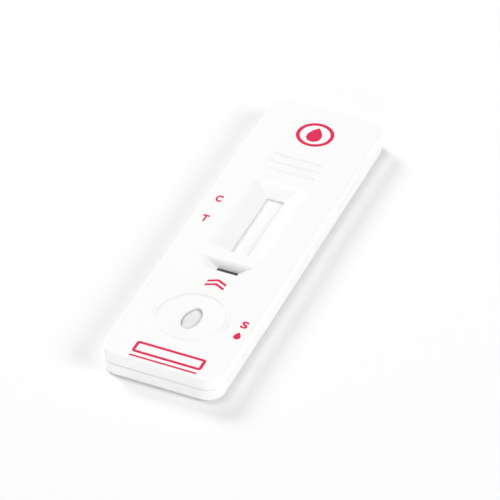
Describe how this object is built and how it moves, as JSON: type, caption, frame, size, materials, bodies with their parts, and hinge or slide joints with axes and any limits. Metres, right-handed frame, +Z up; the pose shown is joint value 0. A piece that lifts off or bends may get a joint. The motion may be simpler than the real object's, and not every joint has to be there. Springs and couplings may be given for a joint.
{
  "type": "lateral flow cassette",
  "caption": "Flat white two-shell plastic cassette that holds a paper test strip, with a sloping result window, a pocket with a slit, a dished oval sample well and finger ribs.",
  "frame": {"origin": "middle of the flat underside, on the surface that the cassette rests on", "axes": "+Y along the cassette from the sample end to the grip end, +X across it, +Z up through the window"},
  "size_m": [0.02, 0.07, 0.0047],
  "materials": {
    "cover_plastic": "satin moulded white polystyrene",
    "base_plastic": "satin moulded white polystyrene",
    "card": "matt white PVC card",
    "membrane": "smooth matt white nitrocellulose",
    "conjugate": "fibre pad, dark with dried label",
    "sample_paper": "matt off-white fibre pad",
    "absorbent_paper": "thick matt white cotton paper"
  },
  "bodies": {
    "root": {"top_cover": "cover_plastic", "base_shell": "base_plastic", "backing_card": "card", "membrane": "membrane", "conjugate_pad": "conjugate", "sample_pad": "sample_paper", "absorbent_pad": "absorbent_paper"}
  },
  "joints": []
}
